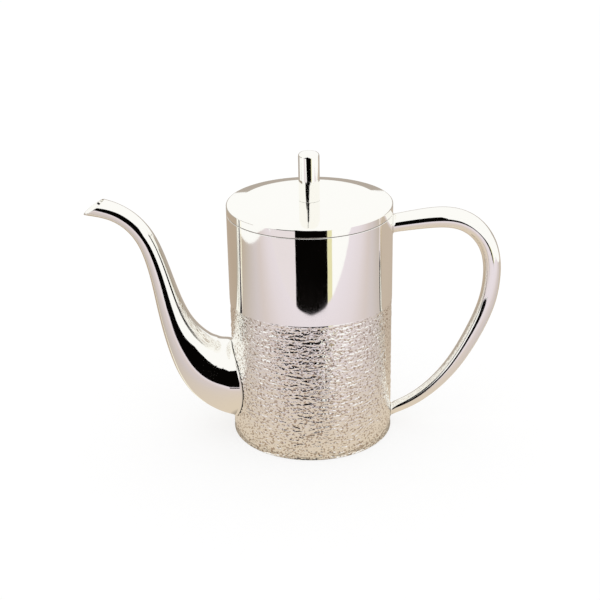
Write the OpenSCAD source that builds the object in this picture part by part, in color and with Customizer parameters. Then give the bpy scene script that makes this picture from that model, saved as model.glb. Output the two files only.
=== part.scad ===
// Coffee pot with a swan-neck spout, a ring handle and a lift-off lid.
// The frame has +Z up. Its origin is on the body's axis, at the face the pot rests on.
// The spout points along -X and the handle along +X.

/* [Body] */
// Outer radius of the body
body_r = 41; // [38:0.5:46]
// Height of the body wall, from the table to the lid's seam
body_h = 117.5; // [112:0.5:130]
// Thickness of the body wall
wall = 1; // [0.8:0.1:1.4]
// Rounding of the wall's bottom edge
foot_round = 0.6; // [0.3:0.1:0.7]
// Thickness of the base plate
base_t = 1.2; // [0.8:0.1:2]

/* [Neck] */
// Thickness of the ring soldered inside the mouth
neck_t = 0.8; // [0.6:0.1:1.2]
// Height of that ring
neck_h = 10; // [6:0.5:14]

/* [Lid] */
// Height of the lid above the seam
lid_h = 5.5; // [4:0.5:9]
// Thickness of the lid's sheet
lid_t = 1; // [0.7:0.1:1.2]
// Rounding of the lid's top edge
lid_round = 1.3; // [0.6:0.1:2]
// Thickness of the bezel under the lid
bezel_t = 0.8; // [0.6:0.1:1.2]
// How far the bezel reaches below the seam
bezel_depth = 8.5; // [5:0.5:12]
// Radial clearance between the bezel and the neck ring
bezel_gap = 0.3; // [0.2:0.05:0.5]
// Lead-in chamfer at the bezel's lower edge
bezel_chamfer = 0.4; // [0.1:0.1:0.5]

/* [Knob] */
// Radius of the knob
knob_r = 5.2; // [4.5:0.1:7]
// Height of the knob
knob_h = 24; // [18:0.5:30]
// Rounding of the knob's top edge
knob_round = 1.8; // [0.5:0.1:3]
// Radius of the knob screw's shank
screw_r = 2; // [1.5:0.1:2.5]
// How far the screw reaches into the knob
screw_grip = 10; // [6:0.5:14]
// Spare depth of the tapped hole past the screw's end
tap_spare = 2; // [1:0.5:3]
// Radius of the screw's head
screw_head_r = 3.8; // [3.5:0.1:4.4]
// Height of the screw's head
screw_head_h = 2.4; // [1.8:0.1:3]
// Width of the screwdriver slot
slot_w = 1; // [0.8:0.1:1.2]
// Depth of the screwdriver slot
slot_d = 1.1; // [0.6:0.1:1.3]
// Radius of the washer under the lid's sheet
washer_r = 6; // [5:0.1:8]
// Thickness of the washer
washer_t = 0.8; // [0.5:0.1:1.2]

/* [Spout] */
// Radius of the spout's root on the body wall
spout_root_r = 19.9; // [17:0.1:21]
// Height of the root's centre
spout_root_z = 27.5; // [25:0.1:40]
// Radius of the spout at its mouth
spout_mouth_r = 4.6; // [3.8:0.1:6]
// How far the mouth's centre stands out from the body wall
spout_reach = 64.8; // [55:0.1:80]
// Height of the mouth's centre above the root's centre
spout_rise = 93.8; // [80:0.1:105]
// Thickness of the spout's wall
spout_t = 1; // [0.7:0.1:1.3]
// How far the cut of the mouth leans back from upright, in degrees
mouth_lean = 56; // [40:1:60]
// Radius of the round port through the body wall, inside the spout's root
port_r = 15; // [10:0.5:15.5]

/* [Handle] */
// How far the middle of the grip stands out from the body wall
handle_reach = 50.2; // [42:0.1:58]
// Depth of the handle's upper joint below the lid's seam
handle_drop = 7.5; // [6:0.5:14]
// Height of the handle's lower joint
handle_foot_z = 6.7; // [5:0.1:20]
// Radius of the handle at its upper joint
handle_top_r = 4.5; // [3.5:0.1:5]
// Radius of the handle at its thickest, on the upper bend
handle_r = 5.2; // [4.5:0.1:6.5]
// Radius of the handle at its lower joint
handle_foot_r = 3; // [2.3:0.1:3.5]
// Thickness of the handle's wall
handle_t = 1; // [0.6:0.1:1.2]

/* [Hidden] */
$fn = 96;

// Running clearance of the screw in its tapped hole, and in the sheet it passes through
thread_gap = 0.05;
hole_gap = 0.2;
// Film of solder between the body wall and what is soldered to it
solder = 0.05;
// How far a cutting tool runs past the faces it cuts
past = 1;
// Short way along a row of stations, from which a tube's direction is taken
nudge = 0.01;

neck_r = body_r - wall;
bezel_r = neck_r - neck_t - bezel_gap;
lid_top = body_h + lid_h;
lid_under = lid_top - lid_t;
washer_under = lid_under - washer_t;
handle_top_z = body_h - handle_drop;

// Sides of a ring and rings between two stations, for the swept tubes
spout_sides = 36;
handle_sides = 20;
steps = 3;
// Stations over which the spout's round root changes into rings cut at a slant
root_stations = 3;

// Stations of the spout from root to mouth: percent of the reach, percent of the rise,
// percent of the way from the mouth's radius to the root's, and the ring's lean in degrees.
// A ring stands upright on the body wall and leans back until it is square to the tube.
spout_stations = [
    [0, 0, 100, 0],
    [6.3, 1.3, 97, 6],
    [15, 3.7, 85, 15],
    [22.5, 7.8, 70.5, 26.5],
    [29.3, 13.5, 55, 38.5],
    [34.9, 20.7, 41, 50],
    [39.6, 28, 29.4, 61],
    [43.5, 35.4, 20.3, 69.5],
    [47.4, 45.2, 13.4, 76],
    [50.5, 54.9, 8.2, 78],
    [53.7, 64.5, 4.9, 76.5],
    [57.7, 74.3, 2.6, 70],
    [63.1, 83.5, 1.6, 59],
    [72.5, 91.9, 0.7, 43],
    [85.6, 97.8, 0.3, 29],
    [100, 100, 0, mouth_lean]
];

// Stations of the handle from its upper to its lower joint: percent of the reach,
// percent of the height between the joints, and two shares of the radius in percent:
// the thickest radius over the upper joint's, and the lower joint's over the thickest.
handle_stations = [
    [0, 100, 0, 0],
    [12, 100.9, 30, 0],
    [29.8, 102.1, 70, 0],
    [46.9, 102.9, 100, 0],
    [65.2, 102.1, 100, 5],
    [82, 97.7, 100, 14],
    [94.6, 89.6, 100, 28],
    [99.9, 80, 100, 36],
    [100.2, 70.4, 100, 38],
    [97.6, 60.6, 100, 39],
    [91.8, 51.5, 100, 41],
    [83.8, 42.5, 100, 44],
    [75.1, 34, 100, 51],
    [65, 25.6, 100, 60],
    [52.8, 17.8, 100, 70],
    [38.1, 10.6, 100, 81],
    [20.7, 4.3, 100, 91],
    [0, 0, 100, 100]
];

// Value of a smooth curve drawn along the stations at position t, which counts stations.
// It is a cubic B-spline, which starts and ends at its end stations.
function smooth_at(stations, t) =
    let (last = len(stations) - 1,
         i = max(min(floor(t), last - 1), 0),
         u = t - i,
         b = stations[i],
         c = stations[i + 1],
         a = i > 0 ? stations[i - 1] : 2 * b - c,
         d = i + 2 > last ? 2 * c - b : stations[i + 2])
    (pow(1 - u, 3) * a + (3 * pow(u, 3) - 6 * pow(u, 2) + 4) * b
     + (3 * u + 3 * pow(u, 2) - 3 * pow(u, 3) + 1) * c + pow(u, 3) * d) / 6;

// Value that lies the given percent of the way from one value to another
function blend(from, to, percent) = from + (to - from) * percent / 100;

// Direction from one [out, up] point to the next, in degrees above the horizontal
function heading(from, to) = atan2(to[1] - from[1], to[0] - from[0]);

// Ring of points about [out, up]. It leans back from upright, and is stretched along its lean
function ring(centre, radius, lean, stretch, sides) = [
    for (i = [0:sides - 1])
        let (a = 360 * i / sides, v = radius * stretch * sin(a))
        [centre[0] - v * sin(lean), radius * cos(a), centre[1] + v * cos(lean)]
];

// The same points moved out or in along X until they lie on the body wall
function on_wall(points) = [
    for (p = points) [sqrt(pow(body_r + solder, 2) - p[1] * p[1]), p[1], p[2]]
];

function spout_at(t) = smooth_at(spout_stations, t);
function spout_centre(t) = [
    body_r + blend(0, spout_reach, spout_at(t)[0]),
    spout_root_z + blend(0, spout_rise, spout_at(t)[1])
];
function spout_heading(t) = heading(spout_centre(t - nudge), spout_centre(t));
function spout_ring(t, inset) =
    let (s = spout_at(t),
         radius = blend(spout_mouth_r, spout_root_r, s[2]) - inset,
         shear = t == 0 ? 0 : (spout_heading(t) - s[3]) * min(t / root_stations, 1),
         points = ring(spout_centre(t), radius, s[3], 1 / cos(shear), spout_sides))
    t == 0 ? on_wall(points) : points;

function handle_at(t) = smooth_at(handle_stations, t);
function handle_centre(t) = [
    body_r + blend(0, handle_reach, handle_at(t)[0]),
    blend(handle_foot_z, handle_top_z, handle_at(t)[1])
];
function handle_heading(t) = heading(handle_centre(t - nudge), handle_centre(t + nudge));
function handle_ring(t, inset) =
    let (last = len(handle_stations) - 1,
         s = handle_at(t),
         upper_r = blend(handle_top_r, handle_r, s[2]),
         radius = blend(upper_r, handle_foot_r, s[3]) - inset,
         way = handle_heading(min(max(t, nudge), last - nudge)),
         lean = t == 0 ? 0 : t == last ? -180 : way,
         points = ring(handle_centre(t), radius, lean, 1 / cos(way - lean), handle_sides))
    t == 0 || t == last ? on_wall(points) : points;

// Two triangles for each side of the band between ring a and ring b, given by first index
function band(a, b, sides) = [
    for (i = [0:sides - 1])
        let (j = (i + 1) % sides)
        each [[a + i, a + j, b + j], [a + i, b + j, b + i]]
];

// Hollow tube from two lists of rings, outer and inner, open at both ends
module hollow_tube(outer, inner, sides) {
    last = len(outer) - 1;
    core = len(outer) * sides;
    points = [for (r = concat(outer, inner)) each r];
    faces = concat(
        [for (k = [0:last - 1]) each band(k * sides, (k + 1) * sides, sides)],
        [for (k = [0:last - 1]) each band(core + (k + 1) * sides, core + k * sides, sides)],
        band(core, 0, sides),
        band(last * sides, core + last * sides, sides)
    );
    polyhedron(points = points, faces = faces, convexity = 8);
}

// Solid of revolution with a flat top and a rounded top edge
module rounded_drum(r, h, round) {
    rotate_extrude() {
        square([r - round, h]);
        square([r, h - round]);
        translate([r - round, h - round])
            intersection() {
                circle(r = round);
                square(round);
            }
    }
}

// Ring between two radii
module ring_band(r_out, r_in, h) {
    difference() {
        cylinder(r = r_out, h = h);
        translate([0, 0, -past]) cylinder(r = r_in, h = h + 2 * past);
    }
}

module body_shell() {
    color("silver")
        difference() {
            translate([0, 0, body_h]) mirror([0, 0, 1]) rounded_drum(body_r, body_h, foot_round);
            translate([0, 0, -past]) cylinder(r = neck_r, h = body_h + 2 * past);
            translate([0, 0, spout_root_z])
                rotate([0, -90, 0])
                    cylinder(r = port_r, h = body_r + past);
        }
}

module base_plate() {
    color("silver")
        cylinder(r = neck_r, h = base_t);
}

module neck_ring() {
    color("silver")
        translate([0, 0, body_h - neck_h])
            ring_band(neck_r, neck_r - neck_t, neck_h);
}

module spout() {
    last = (len(spout_stations) - 1) * steps;
    color("silver")
        mirror([1, 0, 0])
            hollow_tube([for (k = [0:last]) spout_ring(k / steps, 0)],
                        [for (k = [0:last]) spout_ring(k / steps, spout_t)], spout_sides);
}

module handle() {
    last = (len(handle_stations) - 1) * steps;
    color("silver")
        hollow_tube([for (k = [0:last]) handle_ring(k / steps, 0)],
                    [for (k = [0:last]) handle_ring(k / steps, handle_t)], handle_sides);
}

module lid_cap() {
    color("silver")
        translate([0, 0, body_h])
            difference() {
                rounded_drum(body_r, lid_h, lid_round);
                translate([0, 0, -past]) cylinder(r = body_r - lid_t, h = lid_h - lid_t + past);
                cylinder(r = screw_r + hole_gap, h = lid_h + past);
            }
}

module lid_bezel() {
    low = body_h - bezel_depth;
    color("silver")
        rotate_extrude()
            polygon([
                [bezel_r - bezel_t, low],
                [bezel_r - bezel_chamfer, low],
                [bezel_r, low + bezel_chamfer],
                [bezel_r, lid_under],
                [bezel_r - bezel_t, lid_under]
            ]);
}

module knob() {
    color("silver")
        translate([0, 0, lid_top])
            difference() {
                rounded_drum(knob_r, knob_h, knob_round);
                translate([0, 0, -past])
                    cylinder(r = screw_r + thread_gap, h = screw_grip + tap_spare + past);
            }
}

module knob_washer() {
    color("gray")
        translate([0, 0, washer_under])
            ring_band(washer_r, screw_r + hole_gap, washer_t);
}

module knob_screw() {
    color("dimgray")
        translate([0, 0, washer_under])
            difference() {
                union() {
                    mirror([0, 0, 1]) cylinder(r = screw_head_r, h = screw_head_h);
                    cylinder(r = screw_r, h = washer_t + lid_t + screw_grip);
                }
                translate([-screw_head_r - past, -slot_w / 2, -screw_head_h - past])
                    cube([2 * (screw_head_r + past), slot_w, slot_d + past]);
            }
}

body_shell();
base_plate();
neck_ring();
spout();
handle();
lid_cap();
lid_bezel();
knob();
knob_washer();
knob_screw();
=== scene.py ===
# %% [markdown]
# # A silver-plated coffee pot
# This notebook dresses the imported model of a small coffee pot: a drawn cylinder with a swan-neck
# spout, a ring handle and a flat lift-off lid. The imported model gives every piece's size and place,
# and this script gives the pieces their fine shape and their finish.

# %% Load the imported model
import math
import bmesh
import bpy
from mathutils import Matrix, Vector, noise


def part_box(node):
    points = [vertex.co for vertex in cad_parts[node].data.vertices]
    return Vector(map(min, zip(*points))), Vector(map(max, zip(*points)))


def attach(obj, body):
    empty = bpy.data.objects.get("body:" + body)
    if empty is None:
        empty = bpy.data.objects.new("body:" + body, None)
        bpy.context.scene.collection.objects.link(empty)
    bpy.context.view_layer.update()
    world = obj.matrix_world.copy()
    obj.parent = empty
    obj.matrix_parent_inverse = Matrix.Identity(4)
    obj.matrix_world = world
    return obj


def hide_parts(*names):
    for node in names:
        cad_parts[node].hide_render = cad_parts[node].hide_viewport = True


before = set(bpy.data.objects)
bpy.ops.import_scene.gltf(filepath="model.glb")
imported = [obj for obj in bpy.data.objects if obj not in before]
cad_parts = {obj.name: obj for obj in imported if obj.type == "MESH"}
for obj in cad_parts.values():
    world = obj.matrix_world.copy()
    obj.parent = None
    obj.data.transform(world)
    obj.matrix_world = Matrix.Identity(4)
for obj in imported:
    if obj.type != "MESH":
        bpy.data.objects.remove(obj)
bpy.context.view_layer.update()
MM = 0.001
print("nodes:", sorted(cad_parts))

# %% [markdown]
# ## The camera
# The pot is seen from the front and from above, about two thirds of a metre away, through a short
# telephoto lens. The camera turns down by 23 degrees and leans by one degree. It is made first, so
# that everything after it can be judged in the same view.

# %% Place the camera
CAMERA_AIM = Vector((-5.49, 0, 69.66)) * MM
CAMERA_DISTANCE = 631.4 * MM
CAMERA_DOWN = math.radians(23.03)
CAMERA_LEAN = math.radians(-1.05)
CAMERA_LENS = 74.78

camera = bpy.data.objects.new("camera", bpy.data.cameras.new("camera"))
camera.data.lens = CAMERA_LENS
bpy.context.scene.collection.objects.link(camera)
look = Vector((0, math.cos(CAMERA_DOWN), -math.sin(CAMERA_DOWN)))
turn = Matrix.Rotation(math.pi / 2 - CAMERA_DOWN, 4, "X") @ Matrix.Rotation(CAMERA_LEAN, 4, "Z")
camera.matrix_world = Matrix.Translation(CAMERA_AIM - look * CAMERA_DISTANCE) @ turn
bpy.context.scene.camera = camera
print("camera at", [round(c, 3) for c in camera.matrix_world.translation])

# %% [markdown]
# ## Sizes from the frame
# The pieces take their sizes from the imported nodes, so that they fit if the model changes. All
# sizes below are in millimetres, as a silversmith would write them.

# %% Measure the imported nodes
def size_of(node):
    """Lowest and highest corner of a node, in mm."""
    low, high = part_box(node)
    return low / MM, high / MM

BODY_R = size_of("body_shell")[1].x
SEAM_Z = size_of("body_shell")[1].z
LID_TOP = size_of("lid_cap")[1].z
KNOB_R = size_of("knob")[1].x
KNOB_TOP = size_of("knob")[1].z
NECK_R = size_of("neck_ring")[1].x
NECK_LOW = size_of("neck_ring")[0].z
BEZEL_R = size_of("lid_bezel")[1].x
BEZEL_LOW = size_of("lid_bezel")[0].z
print("body", round(BODY_R, 2), "seam", round(SEAM_Z, 2), "knob", round(KNOB_R, 2))

# %% [markdown]
# ## Building materials
# A material is a tree of nodes. One small function adds a node, with its settings and what feeds
# each of its inputs, so that a whole finish can be read from top to bottom.

# %% Helpers for materials
WHITE = (1, 1, 1, 1)

def srgb(hex_colour):
    """Linear RGBA from an sRGB hex string such as 'f2efe9'."""
    parts = [int(hex_colour[i:i + 2], 16) / 255 for i in (0, 2, 4)]
    linear = [c / 12.92 if c <= 0.04045 else ((c + 0.055) / 1.055) ** 2.4 for c in parts]
    return (*linear, 1)

def add(tree, kind, links=None, **settings):
    """Add a node. links maps an input to the output socket that feeds it, or to a plain value."""
    made = tree.nodes.new("ShaderNode" + kind)
    for name, value in settings.items():
        setattr(made, name, value)
    for name, value in (links or {}).items():
        if isinstance(value, bpy.types.NodeSocket):
            tree.links.new(value, made.inputs[name])
        else:
            made.inputs[name].default_value = value
    return made

def new_material(name):
    """An empty node material and its output node."""
    material = bpy.data.materials.new(name)
    material.use_nodes = True
    material.node_tree.nodes.clear()
    return material, add(material.node_tree, "OutputMaterial")

# %% [markdown]
# ## Silver plate, polished
# Silver plate over nickel silver reflects about 96 of 100 parts of the light, a little less in the
# blue, so a white studio comes back as a warm white. The buffing wheel leaves two faults that the
# eye knows: a soft waviness a centimetre wide, which bends straight reflections, and patches of
# fine scratches, which blur them. Both come from one noise, read in the pot's own coordinates.

# %% Polished silver plate
SILVER = srgb("fcfbf6")
WAVE = 11.0
WAVE_DEPTH = 0.018
WAVE_DETAIL = 1.5
# A noise runs from 0 to 1 in theory, but seldom leaves this range
NOISE_LOW = 0.3
NOISE_HIGH = 0.7

def polished_plate(name, smooth, worn):
    """Silver plate whose roughness runs between two values, in patches of one wave's width.
    Gives the material and the nodes that a further finish builds on."""
    material, out = new_material(name)
    tree = material.node_tree
    place = add(tree, "TexCoord").outputs["Object"]
    wave = add(tree, "TexNoise", {"Vector": place, "Scale": 1 / (WAVE * MM),
                                  "Detail": WAVE_DETAIL}).outputs["Fac"]
    rough = add(tree, "MapRange", {"Value": wave, "From Min": NOISE_LOW, "From Max": NOISE_HIGH,
                                   "To Min": smooth, "To Max": worn}).outputs[0]
    dents = add(tree, "Bump", {"Height": wave, "Distance": WAVE_DEPTH * MM}).outputs["Normal"]
    metal = add(tree, "BsdfPrincipled", {"Base Color": SILVER, "Metallic": 1, "Roughness": rough,
                                         "Normal": dents})
    tree.links.new(metal.outputs["BSDF"], out.inputs["Surface"])
    return material, place, dents, metal

BUFFED = polished_plate("buffed silver plate", smooth=0.03, worn=0.07)[0]
print("made", BUFFED.name)

# %% [markdown]
# ## Silver plate, mat-hammered
# The wall is the same plate, but below a line it is peened with the narrow end of a hammer. The
# blows themselves are in the mesh further down. What is finer than the mesh is here: the grain of
# each blow as a bump, and a brown painted shade that darkens the hollows of that grain. The painted
# shade is what makes the hammered part look darker and browner than the polished part above it.

# %% Mat-hammered silver plate
HAMMER_TOP = 72.5
HAMMER_EDGE = 0.5
GRAIN_LENGTH = 1.15
GRAIN_WIDTH = 0.8
GRAIN_DEPTH = 0.24
GRAIN_DETAIL = 0.5
# A brown painted shade, laid into the hollows of the grain
HOLLOW_SHADE = srgb("8e6c48")
HOLLOW_SHADE_SHARE = 0.62
# The grain's height where the painted shade starts, and where it is darkest
HOLLOW_SHADE_STARTS = 0.45
HOLLOW_SHADE_FULL = 0.37

def hammered_plate():
    """Polished plate, with grain and painted shade in its hollows, below the hammered part's top."""
    material, place, dents, metal = polished_plate("drawn and hammered silver plate", smooth=0.03,
                                                   worn=0.06)
    tree = material.node_tree
    height = add(tree, "SeparateXYZ", {"Vector": place}).outputs["Z"]
    below = add(tree, "MapRange", {"Value": height, "From Min": (HAMMER_TOP + HAMMER_EDGE) * MM,
                                   "From Max": (HAMMER_TOP - HAMMER_EDGE) * MM}).outputs[0]
    cells = (1 / (GRAIN_LENGTH * MM), 1 / (GRAIN_LENGTH * MM), 1 / (GRAIN_WIDTH * MM))
    long = add(tree, "VectorMath", {0: place, 1: cells}, operation="MULTIPLY").outputs[0]
    grain = add(tree, "TexNoise", {"Vector": long, "Scale": 1,
                                   "Detail": GRAIN_DETAIL}).outputs["Fac"]
    rise = add(tree, "Math", {0: grain, 1: below}, operation="MULTIPLY").outputs[0]
    blows = add(tree, "Bump", {"Height": rise, "Distance": GRAIN_DEPTH * MM, "Normal": dents})
    tree.links.new(blows.outputs["Normal"], metal.inputs["Normal"])
    # Painted shade: the hollows of the grain turn brown
    hollow_shade_mask = add(tree, "MapRange", {"Value": grain, "From Min": HOLLOW_SHADE_STARTS,
                                    "From Max": HOLLOW_SHADE_FULL, "To Min": 0,
                                    "To Max": HOLLOW_SHADE_SHARE}).outputs[0]
    share = add(tree, "Math", {0: hollow_shade_mask, 1: below}, operation="MULTIPLY").outputs[0]
    hollow_shade_tint = add(tree, "MixRGB", {"Fac": share, "Color1": SILVER, "Color2": HOLLOW_SHADE})
    tree.links.new(hollow_shade_tint.outputs["Color"], metal.inputs["Base Color"])
    return material

HAMMERED = hammered_plate()
print("made", HAMMERED.name, "with grain below", HAMMER_TOP, "mm")

# %% [markdown]
# ## Turned pieces
# The body, the lid, its bezel, the neck ring and the knob are all solids of revolution. Each is a
# closed outline of a few points, spun once round the pot's axis. Its circular edges are then
# rounded with a bevel, because no real edge is perfectly sharp, and the rounding is what catches
# the light along the seam of the lid.

# %% Helpers for turned pieces
SAME_PLACE = 0.01
MERGE = 0.001

def spun(outline, sides):
    """Bmesh of an outline of (radius, height) points in mm, spun round the axis."""
    bm = bmesh.new()
    points = [bm.verts.new((r * MM, 0, z * MM)) for r, z in outline]
    on_axis = outline[0][0] == outline[-1][0] == 0
    follow = points[1:] if on_axis else points[1:] + points[:1]
    edges = [bm.edges.new(pair) for pair in zip(points, follow)]
    bmesh.ops.spin(bm, geom=points + edges, cent=(0, 0, 0), axis=(0, 0, 1), dvec=(0, 0, 0),
                   angle=2 * math.pi, steps=sides, use_merge=True)
    bmesh.ops.remove_doubles(bm, verts=bm.verts, dist=MERGE * MM)
    return bm

def round_edge(bm, radius, height, rounding, segments):
    """Round the circular edge at that radius and height, all in mm."""
    def on_circle(v):
        return abs(math.hypot(v.co.x, v.co.y) - radius * MM) < SAME_PLACE * MM and \
            abs(v.co.z - height * MM) < SAME_PLACE * MM
    edges = [e for e in bm.edges if on_circle(e.verts[0]) and on_circle(e.verts[1])]
    bmesh.ops.bevel(bm, geom=edges, offset=rounding * MM, offset_type="OFFSET", affect="EDGES",
                    segments=segments, profile=0.5, material=-1)

# %% [markdown]
# ## Finishing a piece
# Every piece ends the same way: its mesh becomes an object, gets its finish, rides on a body and
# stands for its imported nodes. Faces that meet at more than 40 degrees keep a crisp edge, and
# weighted normals keep large flat faces flat up to their rounded rims.

# %% Helper that finishes a piece
CRISP = math.radians(40)

def finish(name, bm, body, nodes, material):
    """Make the piece's object from its bmesh, and let it stand for its nodes."""
    bmesh.ops.recalc_face_normals(bm, faces=bm.faces)
    mesh = bpy.data.meshes.new(name)
    bm.to_mesh(mesh)
    bm.free()
    mesh.shade_smooth()
    mesh.set_sharp_from_angle(angle=CRISP)
    mesh.materials.append(material)
    piece = bpy.data.objects.new(name, mesh)
    bpy.context.scene.collection.objects.link(piece)
    flat = piece.modifiers.new("flat faces stay flat", "WEIGHTED_NORMAL")
    flat.keep_sharp = True
    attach(piece, body)
    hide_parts(*nodes)
    triangles = sum(len(face.vertices) - 2 for face in mesh.polygons)
    print(name, triangles, "triangles")
    return piece

# %% [markdown]
# ## The body
# The wall is one drawn tube. Its upper part is mirror polished. Below, it is hammered in short
# level strokes, like the weave of a straw mat, which hides scratches and gives a grip.
# The strokes are shallow dents of real depth, so they are made in the mesh: the wall is spun with
# fine rows, and each point moves inwards by a stretched noise, half a millimetre at most. A slow
# second noise sways the strokes up and down, as a hand does.

# %% The hammered wall
WALL = 1.0
FOOT_ROUND = 0.6
EDGE_ROUND = 0.25
HAMMER_FADE = 1.2
STROKE_LENGTH = 3.6
STROKE_PITCH = 1.0
STROKE_DEPTH = 0.5
SWAY = 0.6
SWAY_STRETCH = 0.6
SWAY_ROWS = 5
ROW = 0.36
FIRST_ROW = 3
COLUMNS = 384

def stroke_depth(x, y, z):
    """Depth of the hammered dents at a point of the wall, in mm."""
    around = Vector((x, y, 0)) / STROKE_LENGTH
    slow = Vector((0, 0, z / (SWAY_ROWS * STROKE_PITCH)))
    sway = noise.noise(around * SWAY_STRETCH + slow)
    dent = noise.noise(Vector((around.x, around.y, z / STROKE_PITCH + SWAY * sway)))
    share = min(max((HAMMER_TOP - z) / HAMMER_FADE, 0), max(z / HAMMER_FADE, 0), 1)
    return STROKE_DEPTH * share * (0.5 + 0.5 * dent)

rows = int(HAMMER_TOP / ROW)
outline = [(BODY_R - WALL, 0), (BODY_R, 0)]
outline += [(BODY_R, ROW * k) for k in range(FIRST_ROW, rows + FIRST_ROW + 1)]
outline += [(BODY_R, SEAM_Z), (BODY_R - WALL, SEAM_Z)]
wall = spun(outline, COLUMNS)
round_edge(wall, BODY_R, 0, FOOT_ROUND, 4)
round_edge(wall, BODY_R, SEAM_Z, EDGE_ROUND, 3)
for v in wall.verts:
    x, y, z = v.co / MM
    if math.hypot(x, y) > BODY_R - SAME_PLACE and z < HAMMER_TOP:
        v.co.xy *= 1 - stroke_depth(x, y, z) / BODY_R
print("wall with", rows, "hammered rows of", COLUMNS, "points")

# %% [markdown]
# ## The port behind the spout
# Coffee reaches the spout through a round hole in the wall. It is cut on the bench before the
# spout is soldered on, and here a cylinder is cut out of the wall in the same way. Blender's
# Boolean is a modifier, so both shapes become objects for a moment, and the result is read back.

# %% Cut the port and finish the wall
PORT_R = 15
PORT_Z = 27.5
PORT_DEEP = 16
PORT_SIDES = 96

def cut_away(bm, cutter):
    """A bmesh with the second one cut out of it."""
    solids = []
    for part in (bm, cutter):
        bmesh.ops.recalc_face_normals(part, faces=part.faces)
        mesh = bpy.data.meshes.new("solid to cut")
        part.to_mesh(mesh)
        part.free()
        solids.append(bpy.data.objects.new("solid to cut", mesh))
        bpy.context.scene.collection.objects.link(solids[-1])
    cut = solids[0].modifiers.new("cut", "BOOLEAN")
    cut.operation = "DIFFERENCE"
    cut.solver = "EXACT"
    cut.object = solids[1]
    result = bmesh.new()
    result.from_object(solids[0], bpy.context.evaluated_depsgraph_get())
    # An object goes with its mesh
    for solid in solids:
        bpy.data.meshes.remove(solid.data)
    return result

port = bmesh.new()
centre = Matrix.Translation(Vector((-BODY_R, 0, PORT_Z)) * MM)
across = Matrix.Rotation(math.pi / 2, 4, "Y")
bmesh.ops.create_cone(port, cap_ends=True, segments=PORT_SIDES, radius1=PORT_R * MM,
                      radius2=PORT_R * MM, depth=PORT_DEEP * MM, matrix=centre @ across)
wall = cut_away(wall, port)
finish("body_wall", wall, "pot", ["body_shell"], HAMMERED)

# %% [markdown]
# ## The lid
# A disc with a short skirt. Its middle is flat, and its outer 8 mm fall by a millimetre, because a
# spun disc never stays level up to its rim: that slope shows as a fine band along the lid's far
# side. The lid sits flush on the wall, so all that shows of the joint is a hairline where two small
# roundings meet.

# %% The lid
SIDES = 256
LID_T = 1.0
LID_ROUND = 0.8
SHOULDER = 8.0
SHOULDER_DROP = 1.0
SHOULDER_ROUND = 0.7
SEAM_GAP = 0.2
SCREW_HOLE = 2.2

lid = spun([(SCREW_HOLE, LID_TOP - LID_T), (BODY_R - SHOULDER, LID_TOP - LID_T),
            (BODY_R - LID_T, LID_TOP - LID_T - SHOULDER_DROP), (BODY_R - LID_T, SEAM_Z + SEAM_GAP),
            (BODY_R, SEAM_Z + SEAM_GAP), (BODY_R, LID_TOP - SHOULDER_DROP),
            (BODY_R - SHOULDER, LID_TOP), (SCREW_HOLE, LID_TOP)], SIDES)
round_edge(lid, BODY_R - SHOULDER, LID_TOP, SHOULDER_ROUND, 4)
round_edge(lid, BODY_R, LID_TOP - SHOULDER_DROP, LID_ROUND, 8)
round_edge(lid, BODY_R, SEAM_Z + SEAM_GAP, EDGE_ROUND, 3)
finish("lid", lid, "lid", ["lid_cap"], BUFFED)

# %% [markdown]
# ## The bezel and the neck ring
# Two plain rings hold the lid in its place. The bezel is soldered under the lid and slips into the
# neck ring, which is soldered inside the mouth and stiffens it. Their leading edges are rounded, so
# that the lid finds its way in.

# %% The bezel and the neck ring
RING_T = 0.8
BEZEL_ROUND = 0.4
NECK_ROUND = 0.3

bezel = spun([(BEZEL_R - RING_T, BEZEL_LOW), (BEZEL_R, BEZEL_LOW), (BEZEL_R, LID_TOP - LID_T),
              (BEZEL_R - RING_T, LID_TOP - LID_T)], SIDES)
round_edge(bezel, BEZEL_R, BEZEL_LOW, BEZEL_ROUND, 3)
finish("bezel", bezel, "lid", ["lid_bezel"], BUFFED)

ring = spun([(NECK_R - RING_T, NECK_LOW), (NECK_R, NECK_LOW), (NECK_R, SEAM_Z),
             (NECK_R - RING_T, SEAM_Z)], SIDES)
round_edge(ring, NECK_R - RING_T, SEAM_Z, NECK_ROUND, 3)
round_edge(ring, NECK_R - RING_T, NECK_LOW, NECK_ROUND, 3)
finish("neck_band", ring, "pot", ["neck_ring"], BUFFED)

# %% [markdown]
# ## The knob
# A short silver rod, turned with a generous rounding on top so that it is kind to the fingers. The
# screw's bore is open from below. A knob this plain lives from the one dark stripe in it, so it has
# enough sides to keep that stripe's edges straight.

# %% The knob
KNOB_SIDES = 128
KNOB_ROUND = 1.8
KNOB_FOOT_ROUND = 0.15
BORE_R = 2.05
BORE_DEEP = 12

bore_top = LID_TOP + BORE_DEEP
knob = spun([(0, bore_top), (BORE_R, bore_top), (BORE_R, LID_TOP), (KNOB_R, LID_TOP),
             (KNOB_R, KNOB_TOP), (0, KNOB_TOP)], KNOB_SIDES)
round_edge(knob, KNOB_R, KNOB_TOP, KNOB_ROUND, 10)
round_edge(knob, KNOB_R, LID_TOP, KNOB_FOOT_ROUND, 2)
finish("lid_knob", knob, "lid", ["knob"], BUFFED)

# %% [markdown]
# ## Curves for swept tubes
# The spout and the handle are tubes whose thickness changes along a curve. The curve, the thickness
# and the lean of the section all follow one smooth spline through a few stations. The stations are
# given in percent of how far the tube reaches out and up, so a longer tube keeps its form.

# %% Helpers for the curve
# A short step along the stations, over which the curve's direction is taken
STEP = 0.01

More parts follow.
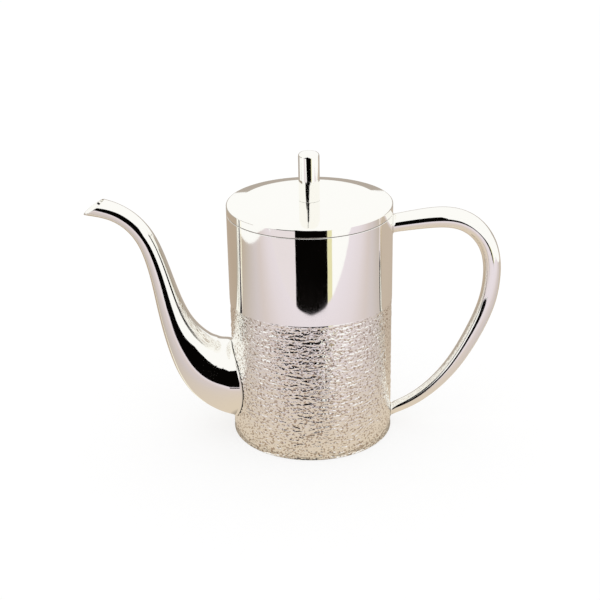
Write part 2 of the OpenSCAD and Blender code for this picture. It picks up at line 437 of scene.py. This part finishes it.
def smooth_at(stations, t):
    """Value of a cubic B-spline along the stations, which starts and ends at its end stations."""
    last = len(stations) - 1
    i = max(min(int(t), last - 1), 0)
    u = t - i
    b, c = stations[i], stations[i + 1]
    a = stations[i - 1] if i > 0 else 2 * b - c
    d = stations[i + 2] if i + 2 <= last else 2 * c - b
    return ((1 - u) ** 3 * a + (3 * u ** 3 - 6 * u ** 2 + 4) * b
            + (3 * u + 3 * u ** 2 - 3 * u ** 3 + 1) * c + u ** 3 * d) / 6

def between(start, end, percent):
    return start + (end - start) * percent / 100

def heading(a, b):
    """Direction from one (out, up) point to the next, in degrees above level."""
    return math.degrees(math.atan2(b[1] - a[1], b[0] - a[0]))

# %% [markdown]
# ## Rings for swept tubes
# A tube is a row of rings, bridged one to the next. Where it meets the wall, its last ring is bent
# to the wall's curve, and a few more rings make the small hollow fillet that solder leaves there.

# %% Helpers for the rings
SOLDER = 0.05
FILLET = 1.0
FILLET_ANGLES = (0, 25, 50, 70)

def add_ring(bm, side, centre, radius, lean, stretch, sides):
    """Add a circle that leans back from upright, on the side of +X (1) or -X (-1)."""
    lean = math.radians(lean)
    across = Vector((0, 1, 0))
    rise = Vector((-side * math.sin(lean), 0, math.cos(lean))) * stretch
    place = Matrix((across, rise, across.cross(rise))).transposed().to_4x4()
    place.translation = Vector((side * centre[0], 0, centre[1])) * MM
    verts = bmesh.ops.create_circle(bm, radius=radius * MM, segments=sides, matrix=place)["verts"]
    return verts, list({e for v in verts for e in v.link_edges})

def press_on_wall(ring, side, away=0):
    """Move a ring along X until it lies round the body's wall, a film of solder and more away."""
    for v in ring[0]:
        v.co.x = side * math.sqrt(((BODY_R + SOLDER + away) * MM) ** 2 - v.co.y ** 2)

def solder_fillet(bm, side, centre, radius, lean, sides):
    """Rings of the small hollow fillet that solder leaves between a tube and the wall."""
    rings = []
    for angle in (math.radians(a) for a in FILLET_ANGLES):
        wide = radius + FILLET * (1 - math.sin(angle))
        ring = add_ring(bm, side, centre, wide, lean, 1, sides)
        press_on_wall(ring, side, FILLET * (1 - math.cos(angle)))
        rings.append(ring)
    return rings

# %% [markdown]
# ## From rings to a tube
# The rings outside, the rings inside and the first ring again are bridged in one go, so the tube
# has a wall and is closed. The outermost rings of the curve are left out where a fillet takes their
# place, because both would crowd there.

# %% Helper for a hollow tube
SKIPPED = 2
LIP_ROUND = 0.24

def hollow_tube(ring_at, last, steps, inset, start, end):
    """Bmesh of a tube with a wall. ring_at(bm, t, inset) adds one ring. start(bm) and end(bm) give
    the fillet's rings, which stand for the first or the last few ones outside. A tube without a
    fillet at its end has an open mouth there, and its lip is rounded."""
    bm = bmesh.new()
    first_rings, last_rings = start(bm), end(bm)
    ways = [k / steps for k in range(last * steps + 1)]
    plain = ways[SKIPPED:len(ways) - SKIPPED] if last_rings else ways[SKIPPED:]
    outer = first_rings + [ring_at(bm, t, 0) for t in plain] + last_rings
    inner = [ring_at(bm, t, inset) for t in reversed(ways)]
    rings = outer + inner + outer[:1]
    for a, b in zip(rings, rings[1:]):
        bmesh.ops.bridge_loops(bm, edges=a[1] + b[1])
    if not last_rings:
        bmesh.ops.bevel(bm, geom=outer[-1][1] + inner[0][1], offset=LIP_ROUND * MM,
                        offset_type="OFFSET", affect="EDGES", segments=3, profile=0.5, material=-1)
    return bm

# %% [markdown]
# ## The spout
# The root is a wide round horn on the wall, which narrows in a swan's neck to a slanting mouth.
# Near the wall a ring stands upright, and further out it turns until it is square to the tube, so
# the rings never cross each other in the tight bend at the root. The mouth is spread a little to
# both sides and its lip is filed thin, because a thin wide lip pours without drips.

# %% The spout
SPOUT_ROOT_R = 19.9
SPOUT_MOUTH_R = 4.6
SPOUT_REACH = 64.8
SPOUT_RISE = 93.8
SPOUT_T = 1.0
MOUTH_LEAN = 56
MOUTH_FLARE = 0.36
FLARE_STATIONS = 1.6
LIP_T = 0.55
ROOT_STATIONS = 3
SPOUT_SIDES = 112
SPOUT_STEPS = 12

# Percent of the reach, percent of the rise, percent of the way from the mouth's radius to the
# root's, and the ring's lean in degrees
SPOUT_STATIONS = [Vector(station) for station in (
    (0, 0, 100, 0), (6.3, 1.3, 97, 6), (15, 3.7, 85, 15), (22.5, 7.8, 70.5, 26.5),
    (29.3, 13.5, 55, 38.5), (34.9, 20.7, 41, 50), (39.6, 28, 29.4, 61), (43.5, 35.4, 20.3, 69.5),
    (47.4, 45.2, 13.4, 76), (50.5, 54.9, 8.2, 78), (53.7, 64.5, 4.9, 76.5), (57.7, 74.3, 2.6, 70),
    (63.1, 83.5, 1.6, 59), (72.5, 91.9, 0.7, 43), (85.6, 97.8, 0.3, 29), (100, 100, 0, MOUTH_LEAN))]

def spout_centre(t):
    out, up = smooth_at(SPOUT_STATIONS, t)[:2]
    return BODY_R + between(0, SPOUT_REACH, out), PORT_Z + between(0, SPOUT_RISE, up)

def spout_ring(bm, t, inset):
    share, lean = smooth_at(SPOUT_STATIONS, t)[2:]
    flare = max(1 - (len(SPOUT_STATIONS) - 1 - t) / FLARE_STATIONS, 0) ** 2
    wall = inset * (1 - flare * (1 - LIP_T / SPOUT_T))
    radius = between(SPOUT_MOUTH_R, SPOUT_ROOT_R, share) - wall
    way = heading(spout_centre(t - STEP), spout_centre(t))
    shear = (way - lean) * min(t / ROOT_STATIONS, 1) if t else 0
    stretch = 1 / math.cos(math.radians(shear))
    ring = add_ring(bm, -1, spout_centre(t), radius, lean, stretch, SPOUT_SIDES)
    for v in ring[0]:
        v.co.y *= 1 + MOUTH_FLARE * flare
    if t == 0:
        press_on_wall(ring, -1)
    return ring

def spout_root(bm):
    return solder_fillet(bm, -1, spout_centre(0), SPOUT_ROOT_R, 0, SPOUT_SIDES)

def spout_mouth(bm):
    return []

spout = hollow_tube(spout_ring, len(SPOUT_STATIONS) - 1, SPOUT_STEPS, SPOUT_T, spout_root,
                    spout_mouth)
finish("swan_neck_spout", spout, "pot", ["spout"], BUFFED)

# %% [markdown]
# ## The handle
# A round tube, thickest on the upper bend where the hand pulls, which tapers to a slim foot. Both
# ends are cut to the curve of the wall. The curve comes back to the wall at its foot, so its last
# ring leans by half a turn.

# %% The handle
HANDLE_REACH = 50.2
HANDLE_TOP_Z = 110
HANDLE_FOOT_Z = 6.7
HANDLE_TOP_R = 4.5
HANDLE_R = 5.2
HANDLE_FOOT_R = 3.0
HANDLE_T = 1.0
HANDLE_FOOT_LEAN = -180
HANDLE_SIDES = 64
HANDLE_STEPS = 8

# Percent of the reach, percent of the height between the joints, and two shares of the radius in
# percent: the thickest radius over the upper joint's, and the lower joint's over the thickest
HANDLE_STATIONS = [Vector(station) for station in (
    (0, 100, 0, 0), (12, 100.9, 30, 0), (29.8, 102.1, 70, 0), (46.9, 102.9, 100, 0),
    (65.2, 102.1, 100, 5), (82, 97.7, 100, 14), (94.6, 89.6, 100, 28), (99.9, 80, 100, 36),
    (100.2, 70.4, 100, 38), (97.6, 60.6, 100, 39), (91.8, 51.5, 100, 41), (83.8, 42.5, 100, 44),
    (75.1, 34, 100, 51), (65, 25.6, 100, 60), (52.8, 17.8, 100, 70), (38.1, 10.6, 100, 81),
    (20.7, 4.3, 100, 91), (0, 0, 100, 100))]
HANDLE_END = len(HANDLE_STATIONS) - 1

def handle_centre(t):
    out, up = smooth_at(HANDLE_STATIONS, t)[:2]
    return BODY_R + between(0, HANDLE_REACH, out), between(HANDLE_FOOT_Z, HANDLE_TOP_Z, up)

def handle_ring(bm, t, inset):
    thick, foot = smooth_at(HANDLE_STATIONS, t)[2:]
    radius = between(between(HANDLE_TOP_R, HANDLE_R, thick), HANDLE_FOOT_R, foot) - inset
    middle = min(max(t, STEP), HANDLE_END - STEP)
    way = heading(handle_centre(middle - STEP), handle_centre(middle + STEP))
    lean = 0 if t == 0 else HANDLE_FOOT_LEAN if t == HANDLE_END else way
    stretch = 1 / math.cos(math.radians(way - lean))
    ring = add_ring(bm, 1, handle_centre(t), radius, lean, stretch, HANDLE_SIDES)
    if t in (0, HANDLE_END):
        press_on_wall(ring, 1)
    return ring

def handle_top(bm):
    return solder_fillet(bm, 1, handle_centre(0), HANDLE_TOP_R, 0, HANDLE_SIDES)

def handle_foot(bm):
    return solder_fillet(bm, 1, handle_centre(HANDLE_END), HANDLE_FOOT_R, HANDLE_FOOT_LEAN,
                         HANDLE_SIDES)[::-1]

handle = hollow_tube(handle_ring, HANDLE_END, HANDLE_STEPS, HANDLE_T, handle_top, handle_foot)
finish("ring_handle", handle, "pot", ["handle"], BUFFED)

# %% [markdown]
# ## Small hidden pieces
# The base plate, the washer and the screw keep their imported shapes, because they are right. They
# are turned on a lathe and never buffed, so what the eye sees is a satin face with fine rings. The
# rings are a noise along the distance from the pot's axis. A real tool leaves them 0.1 mm apart,
# and they are drawn wider, so that they show.

# %% Turned metals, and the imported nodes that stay
RING_PITCH = 0.45
RING_DEPTH = 0.006
RING_DETAIL = 3
TURNED_SMOOTH = 0.22
TURNED_ROUGH = 0.42

def turned_metal(name, colour):
    """A satin metal with the rings of a lathe round the pot's axis."""
    material, out = new_material(name)
    tree = material.node_tree
    place = add(tree, "TexCoord").outputs["Object"]
    flat = add(tree, "VectorMath", {0: place, 1: (1, 1, 0)}, operation="MULTIPLY").outputs[0]
    reach = add(tree, "VectorMath", {0: flat}, operation="LENGTH").outputs["Value"]
    rings = add(tree, "TexNoise", {"W": reach, "Scale": 1 / (RING_PITCH * MM),
                                   "Detail": RING_DETAIL}, noise_dimensions="1D").outputs["Fac"]
    rough = add(tree, "MapRange", {"Value": rings, "To Min": TURNED_SMOOTH,
                                   "To Max": TURNED_ROUGH}).outputs[0]
    grooves = add(tree, "Bump", {"Height": rings, "Distance": RING_DEPTH * MM}).outputs["Normal"]
    metal = add(tree, "BsdfPrincipled", {"Base Color": colour, "Metallic": 1, "Roughness": rough,
                                         "Normal": grooves})
    tree.links.new(metal.outputs["BSDF"], out.inputs["Surface"])
    return material

TURNED_SILVER = turned_metal("turned silver plate", srgb("f0ece2"))
TURNED_STEEL = turned_metal("turned plain steel", srgb("b9b8b6"))
for node, metal in (("base_plate", TURNED_SILVER), ("knob_washer", TURNED_STEEL),
                    ("knob_screw", TURNED_STEEL)):
    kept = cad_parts[node]
    kept.data.materials.clear()
    kept.data.materials.append(metal)
    print(node, "is", metal.name)

# %% [markdown]
# ## The studio
# A mirror has no look of its own, so the studio is half of the finish. Silver is shown in a white
# tent: white paper all round, a table below, and one dark gap in front for the lens. That gap gives
# the black stripe down the middle of each piece, which makes the metal read as metal. The floor and
# the world are plain white. The table top and the cards stand for what the silver sees, so only
# reflected rays meet them, and each simply shows its own colour.

# %% Helpers for the studio
def glow(name, colour):
    """A material that shows its own colour, whatever lights it."""
    material, out = new_material(name)
    shine = add(material.node_tree, "Emission", {"Color": colour})
    material.node_tree.links.new(shine.outputs["Emission"], out.inputs["Surface"])
    return material

def stage_sheet(name, corners, material):
    """A flat sheet with its corners in mm. It isn't part of the pot."""
    bm = bmesh.new()
    bm.faces.new([bm.verts.new(Vector(corner) * MM) for corner in corners])
    mesh = bpy.data.meshes.new(name)
    bm.to_mesh(mesh)
    bm.free()
    mesh.materials.append(material)
    sheet = bpy.data.objects.new(name, mesh)
    bpy.context.scene.collection.objects.link(sheet)
    return sheet

def only_reflected(sheet):
    """Let only mirror rays see the sheet."""
    sheet.visible_camera = False
    sheet.visible_diffuse = False
    sheet.visible_shadow = False
    sheet.visible_transmission = False
    return sheet

# %% [markdown]
# ## The floor
# The floor is white to the lens, yet it keeps the pot's soft shadow. A share of its light is its
# own, and the rest is what really falls on it. Mirror rays don't see it, because the table top
# does that work.

# %% The floor
FLOOR_HALF = 3000
FLOOR_Z = -0.05
FLOOR_SHADOW = 0.3

def white_floor():
    """White to the lens, with a part of the real light left in it to keep the pot's shadow."""
    material, out = new_material("white floor")
    tree = material.node_tree
    lens = add(tree, "LightPath").outputs["Is Camera Ray"]
    lit = add(tree, "BsdfDiffuse", {"Color": WHITE}).outputs[0]
    own = add(tree, "Emission", {"Color": WHITE}).outputs[0]
    part = add(tree, "Math", {0: lens, 1: 1 - FLOOR_SHADOW}, operation="MULTIPLY").outputs[0]
    mixed = add(tree, "MixShader", {0: part, 1: lit, 2: own})
    tree.links.new(mixed.outputs[0], out.inputs["Surface"])
    return material

corners = [(x, y, FLOOR_Z) for x, y in ((-FLOOR_HALF, -FLOOR_HALF), (FLOOR_HALF, -FLOOR_HALF),
                                        (FLOOR_HALF, FLOOR_HALF), (-FLOOR_HALF, FLOOR_HALF))]
floor = stage_sheet("floor", corners, white_floor())
floor.visible_glossy = False
print("floor", 2 * FLOOR_HALF, "mm wide")

# %% [markdown]
# ## The world
# White paper all round: the lens, mirror rays and rays through glass see plain white. The light
# that falls on the floor is a touch stronger, which keeps the floor as white as the paper.

# %% The world
DAYLIGHT = 1.06

world = bpy.data.worlds.new("studio")
world.use_nodes = True
bpy.context.scene.world = world
tree = world.node_tree
tree.nodes.clear()
rays = add(tree, "LightPath").outputs
seen = add(tree, "Math", {0: rays["Is Camera Ray"], 1: rays["Is Glossy Ray"]}, operation="MAXIMUM")
seen = add(tree, "Math", {0: seen.outputs[0], 1: rays["Is Transmission Ray"]}, operation="MAXIMUM")
light = add(tree, "Background", {"Color": WHITE, "Strength": DAYLIGHT})
paper = add(tree, "Background", {"Color": WHITE, "Strength": 1.0})
both = add(tree, "MixShader", {0: seen.outputs[0], 1: light.outputs[0], 2: paper.outputs[0]})
add(tree, "OutputWorld", {"Surface": both.outputs[0]})
bpy.context.scene.view_settings.view_transform = "Standard"
print("world", world.name, "with light", DAYLIGHT)

# %% [markdown]
# ## The table top
# What the lower half of every upright silver wall shows is the table. Its paper is pinkish in front
# and tan behind two folds that run back from the pot, and painted shade makes it warmer and darker
# close to the pot, where little light gets in. The folds catch the light: two painted bright lines.

# %% The paper of the table top
TABLE_FRONT = -222
TABLE_BACK = 330
TABLE_RIGHT = 420
TABLE_LEFT = -330
TABLE_Z = -0.04
FOLD = 0.25
SLANT = 0.1
# Nearest and furthest point of the front's colours along Y, and of the back's along X
PINK_NEAR = -100
PINK_FAR = 250
TAN_HALF = 200
PINK_PAPER = ((0.0, "bfb09f"), (0.17, "c4b9b0"), (0.41, "d2c8c9"), (0.52, "d7cbc9"),
              (0.72, "e4dadf"), (0.92, "eae1e9"))
TAN_PAPER = ((0.0, "b8a795"), (1.0, "c6b7a8"))
# The colour of the painted shade close to the pot, and how far it reaches
NEAR_POT_SHADE = srgb("decfbb")
NEAR_POT_SHADE_REACH = 140
SHADE = 0.4
SHADE_REACH = 45

def table_top():
    """Pinkish paper in front and tan behind the folds, with a warm, dark painted shade at the pot."""
    material, out = new_material("table paper")
    tree = material.node_tree
    place = add(tree, "TexCoord").outputs["Object"]
    x, y = add(tree, "SeparateXYZ", {"Vector": place}).outputs[:2]
    slant = add(tree, "Math", {0: x, 1: SLANT}, operation="MULTIPLY").outputs[0]
    forward = add(tree, "Math", {0: slant, 1: y}, operation="SUBTRACT").outputs[0]
    front = add(tree, "MapRange", {"Value": forward, "From Min": PINK_NEAR * MM,
                                   "From Max": PINK_FAR * MM}).outputs[0]
    across = add(tree, "MapRange", {"Value": x, "From Min": -TAN_HALF * MM,
                                    "From Max": TAN_HALF * MM}).outputs[0]
    papers = []
    for where, stops in ((front, PINK_PAPER), (across, TAN_PAPER)):
        ramp = add(tree, "ValToRGB", {"Fac": where})
        elements = ramp.color_ramp.elements
        elements.remove(elements[1])
        elements[0].position = stops[0][0]
        elements[0].color = srgb(stops[0][1])
        for position, colour in stops[1:]:
            elements.new(position).color = srgb(colour)
        papers.append(ramp.outputs["Color"])
    side = add(tree, "Math", {0: x}, operation="ABSOLUTE").outputs[0]
    fold = add(tree, "Math", {0: side, 1: FOLD}, operation="MULTIPLY").outputs[0]
    behind = add(tree, "Math", {0: y, 1: fold}, operation="GREATER_THAN").outputs[0]
    sheet = add(tree, "MixRGB", {"Fac": behind, "Color1": papers[0], "Color2": papers[1]}).outputs[0]
    # Painted shade: the paper turns warmer and darker close to the pot's foot
    reach = add(tree, "VectorMath", {0: place}, operation="LENGTH").outputs["Value"]
    near_pot_share = add(tree, "MapRange", {"Value": reach, "From Min": BODY_R * MM,
                                   "From Max": NEAR_POT_SHADE_REACH * MM, "To Min": 1, "To Max": 0})
    shaded_paper = add(tree, "MixRGB", {"Fac": near_pot_share.outputs[0], "Color1": sheet, "Color2": NEAR_POT_SHADE})
    contact_shade = add(tree, "MapRange", {"Value": reach, "From Min": BODY_R * MM,
                                   "From Max": SHADE_REACH * MM, "To Min": SHADE, "To Max": 1})
    shine = add(tree, "Emission", {"Color": shaded_paper.outputs[0], "Strength": contact_shade.outputs[0]})
    tree.links.new(shine.outputs[0], out.inputs["Surface"])
    return material

table = [(TABLE_LEFT, TABLE_FRONT, TABLE_Z), (TABLE_RIGHT, TABLE_FRONT, TABLE_Z),
         (TABLE_RIGHT, TABLE_BACK, TABLE_Z), (TABLE_LEFT, TABLE_BACK, TABLE_Z)]
only_reflected(stage_sheet("table_top", table, table_top()))
print("table", TABLE_RIGHT - TABLE_LEFT, "by", TABLE_BACK - TABLE_FRONT, "mm")

# %% The two folds
FOLD_Z = 0.1
FOLD_START = 60
FOLD_END = TABLE_RIGHT
# Painted highlights: the light that each fold catches, as a thin glowing strip
FOLD_HIGHLIGHT = glow("painted fold highlight", srgb("fffbe8"))

for name, side, half in (("fold_left", -1, 5), ("fold_right", 1, 3)):
    near = Vector((side * FOLD_START, FOLD * FOLD_START, FOLD_Z))
    far = Vector((side * FOLD_END, FOLD * FOLD_END, FOLD_Z))
    wide = Vector((0, half, 0))
    only_reflected(stage_sheet(name, [near - wide, far - wide, far + wide, near + wide], FOLD_HIGHLIGHT))
    print(name, 2 * half, "mm wide")

# %% [markdown]
# ## The dark gap for the lens
# The gap between the front sheets is far away and dark. Its right edge gives every stripe its crisp
# side, and the arm that reaches to the left gives the wide black band along the spout. A flag
# closer to the pot widens that band, most of all at the spout's root, and a strip right in front of
# the foot carries the body's stripe on into the hammered part.

# %% The dark gap and the flags
DARK = glow("dark studio", srgb("050403"))
GAP_Y = -2500
LENS_GAP = [(-935, -1800), (1045, -1800), (1045, -330), (520, 0), (420, 400), (330, 880), (0, 950),
            (-300, 1000), (-500, 1300), (-1000, 2600), (-1050, 900), (-1600, 760), (-1950, 250),
            (-2300, 100), (-2900, -250), (-4200, -450), (-4200, -900), (-2900, -760),
            (-1500, -700), (-935, -760)]
FLAG_Y = -200
DARK_FLAG = [(-180, 88), (-30, 88), (8, 145), (-12, 161), (-35, 185), (-73, 195), (-131, 205),
             (-180, 205)]
LOW_FLAG = [(-60, -150, 0.5), (40, -95, 0.5), (40, -95, 8), (-60, -150, 8)]

def upright_card(name, y, outline, material):
    """A flat card in the plane at that depth, with its (x, z) corners in mm."""
    return only_reflected(stage_sheet(name, [(x, y, z) for x, z in outline], material))

upright_card("lens_gap", GAP_Y, LENS_GAP, DARK)
upright_card("dark_flag", FLAG_Y, DARK_FLAG, DARK)
only_reflected(stage_sheet("low_flag", LOW_FLAG, DARK))
print("lens gap", LENS_GAP[1][0] - LENS_GAP[0][0], "mm wide,", -GAP_Y, "mm in front")

# %% [markdown]
# ## The cards and the walls
# Two cards edge the gap: a pale one on its left, and a yellowish one on its right, which gives the
# fine yellow line beside the black stripe. A white card near the handle keeps its upper bend
# bright. A grey wall behind and a brown one at the left give the outlines of the silver a darker
# rim, the spout's above all, without which they would vanish in front of white paper.

# %% The cards and the walls
CARD_Y = -2490
SIDE_CARD = [(-3600, -1800), (-935, -1800), (-935, -780), (-3600, -920)]
GAP_EDGE = [(1045, -1800), (1380, -1800), (1380, -330), (1045, -330)]
BOUNCE_Y = -170
BOUNCE_CARD = [(92, 100), (112, 84), (118, 45), (260, 45), (260, 260), (92, 260)]
BACK_Y = 900
BACK_WALL = [(-1700, -900), (1700, -900), (1700, 300), (-1700, 300)]
LEFT_WALL = [(-1700, -300, -100), (-1700, 900, -100), (-1700, 900, 250), (-1700, -300, 250)]

upright_card("side_card", CARD_Y, SIDE_CARD, glow("pale card", srgb("e9e0e4")))
upright_card("gap_edge", CARD_Y, GAP_EDGE, glow("card edge", srgb("e6e1b4")))
upright_card("bounce_card", BOUNCE_Y, BOUNCE_CARD, glow("white card", WHITE))
upright_card("back_wall", BACK_Y, BACK_WALL, glow("grey backdrop", srgb("b4aaa0")))
only_reflected(stage_sheet("left_wall", LEFT_WALL, glow("brown side", srgb("8f8375"))))
